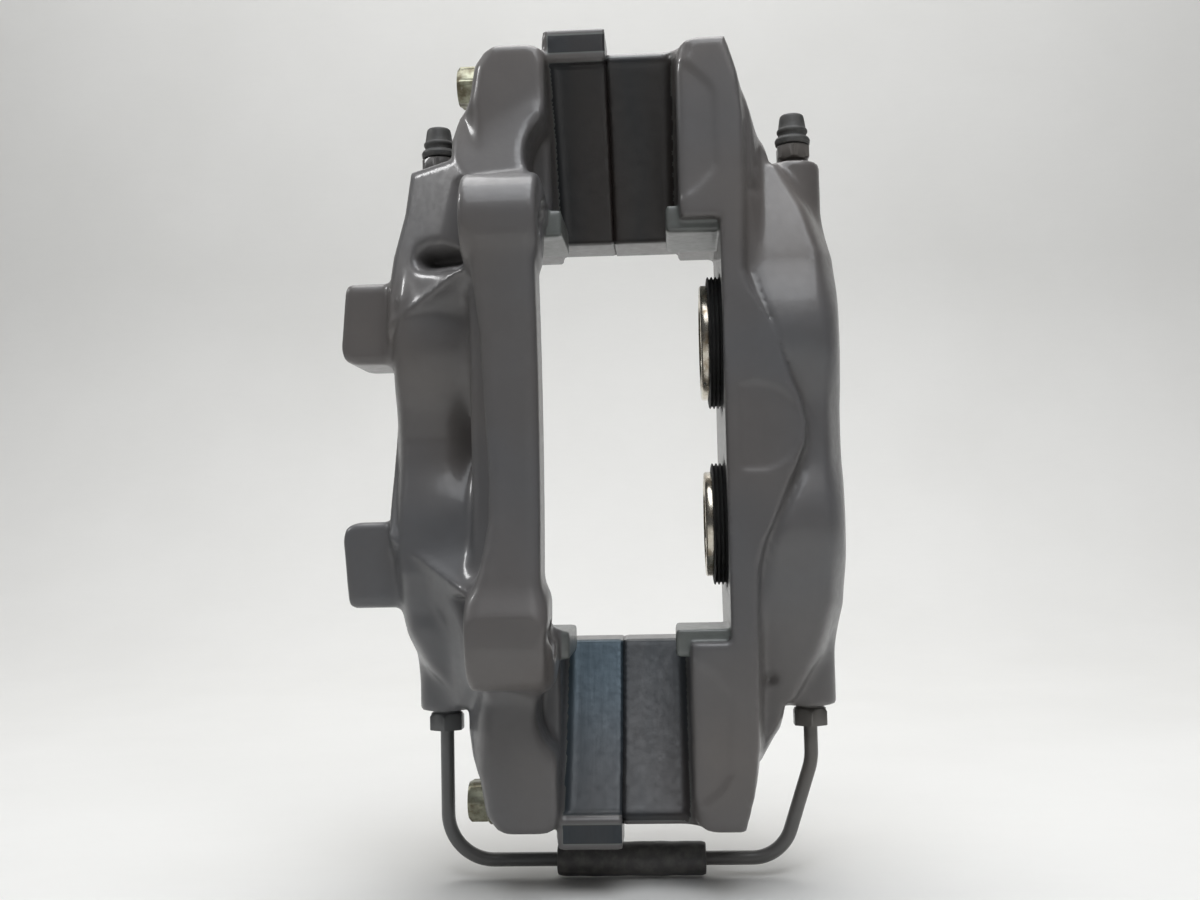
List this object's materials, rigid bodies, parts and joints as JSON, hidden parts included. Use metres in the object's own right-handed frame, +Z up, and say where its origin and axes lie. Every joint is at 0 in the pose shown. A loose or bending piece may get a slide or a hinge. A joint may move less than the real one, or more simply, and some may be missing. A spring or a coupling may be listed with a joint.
{
  "type": "brake caliper",
  "caption": "Fixed brake caliper in two bolted halves, with opposed pistons, side mounting ears, bleed screws and a crossover pipe.",
  "frame": {"origin": "middle between the two mounting holes, on the mounting face of the ears", "axes": "+X outboard along the disc axis, +Y away from the wheel hub, +Z up along the disc edge towards the bleed screws"},
  "size_m": [0.1725, 0.1125, 0.2888],
  "materials": {
    "caliper_paint": "satin dark warm grey paint over an aluminium casting",
    "piston_nickel": "nickel plated, turned",
    "seal_rubber": "smooth black rubber",
    "boot_rubber": "matte black rubber",
    "zinc_steel": "yellow zinc plating, dulled",
    "fitting_steel": "steel painted over with the caliper",
    "cap_rubber": "matte dark grey rubber",
    "pipe_paint": "steel pipe painted satin grey",
    "sleeve_rubber": "satin grey, painted rubber"
  },
  "bodies": {
    "caliper": {"inboard_half": "caliper_paint", "outboard_half": "caliper_paint", "bridge_bolts": "zinc_steel", "crossover_pipe": "pipe_paint", "flare_nuts": "pipe_paint", "pipe_sleeve": "sleeve_rubber", "seal_out_upper": "seal_rubber", "seal_out_lower": "seal_rubber", "seal_in_upper": "seal_rubber", "seal_in_lower": "seal_rubber", "boot_out_upper": "boot_rubber", "boot_out_lower": "boot_rubber", "boot_in_upper": "boot_rubber", "boot_in_lower": "boot_rubber"},
    "piston_out_upper": {"piston_out_upper": "piston_nickel"},
    "piston_out_lower": {"piston_out_lower": "piston_nickel"},
    "piston_in_upper": {"piston_in_upper": "piston_nickel"},
    "piston_in_lower": {"piston_in_lower": "piston_nickel"},
    "bleed_screw_in": {"bleed_screw_in": "fitting_steel"},
    "bleed_screw_out": {"bleed_screw_out": "fitting_steel"},
    "bleed_cap_in": {"bleed_cap_in": "cap_rubber"},
    "bleed_cap_out": {"bleed_cap_out": "cap_rubber"}
  },
  "joints": [
    {"name": "piston_out_upper_slide", "type": "slide", "parent": "caliper", "child": "piston_out_upper", "axis": [-1, 0, 0], "range_m": [-0.006, 0.008], "deforming": ["boot_out_upper"]},
    {"name": "piston_out_lower_slide", "type": "slide", "parent": "caliper", "child": "piston_out_lower", "axis": [-1, 0, 0], "range_m": [-0.006, 0.008], "deforming": ["boot_out_lower"]},
    {"name": "piston_in_upper_slide", "type": "slide", "parent": "caliper", "child": "piston_in_upper", "axis": [1, 0, 0], "range_m": [-0.003, 0.01], "deforming": ["boot_in_upper"]},
    {"name": "piston_in_lower_slide", "type": "slide", "parent": "caliper", "child": "piston_in_lower", "axis": [1, 0, 0], "range_m": [-0.003, 0.01], "deforming": ["boot_in_lower"]},
    {"name": "bleed_screw_in_turn", "type": "hinge", "parent": "caliper", "child": "bleed_screw_in", "pos_m": [-0.015, 0.042, 0.094], "axis": [0, 0, 1], "range_deg": [0, 270]},
    {"name": "bleed_screw_out_turn", "type": "hinge", "parent": "caliper", "child": "bleed_screw_out", "pos_m": [0.111, 0.042, 0.094], "axis": [0, 0, 1], "range_deg": [0, 270]},
    {"name": "bleed_cap_in_pull", "type": "slide", "parent": "bleed_screw_in", "child": "bleed_cap_in", "axis": [0, 0, 1], "range_m": [0, 0.02]},
    {"name": "bleed_cap_out_pull", "type": "slide", "parent": "bleed_screw_out", "child": "bleed_cap_out", "axis": [0, 0, 1], "range_m": [0, 0.02]}
  ]
}
